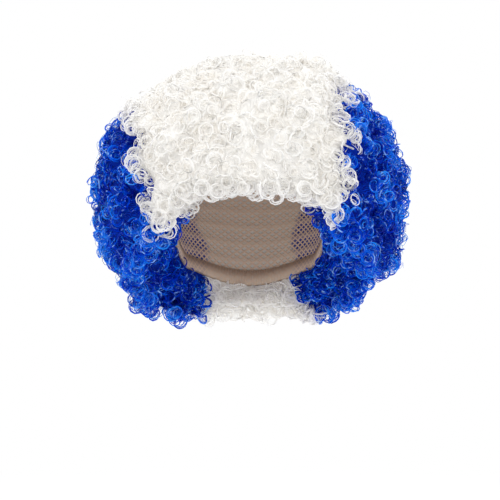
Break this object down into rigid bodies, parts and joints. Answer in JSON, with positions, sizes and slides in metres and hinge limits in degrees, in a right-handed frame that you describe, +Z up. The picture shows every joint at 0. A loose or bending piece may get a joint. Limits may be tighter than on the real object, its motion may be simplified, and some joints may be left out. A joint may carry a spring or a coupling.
{
  "type": "afro wig",
  "caption": "Big round costume wig of tight curls on a stretch cap, with a white panel from forehead to nape and a blue panel on each side.",
  "frame": {"origin": "inside of the cap at the crown, where the wig bears on the top of the head", "axes": "+Z up, -Y towards the face, +X to the wearer's left"},
  "size_m": [0.3234, 0.3147, 0.2709],
  "materials": {
    "cap_net": "matte stretch net",
    "white_hair": "satin synthetic fibre in tight curls",
    "blue_hair": "satin synthetic fibre in tight curls"
  },
  "bodies": {
    "root": {"cap": "cap_net", "hair_white": "white_hair", "hair_blue_left": "blue_hair", "hair_blue_right": "blue_hair"}
  },
  "joints": []
}
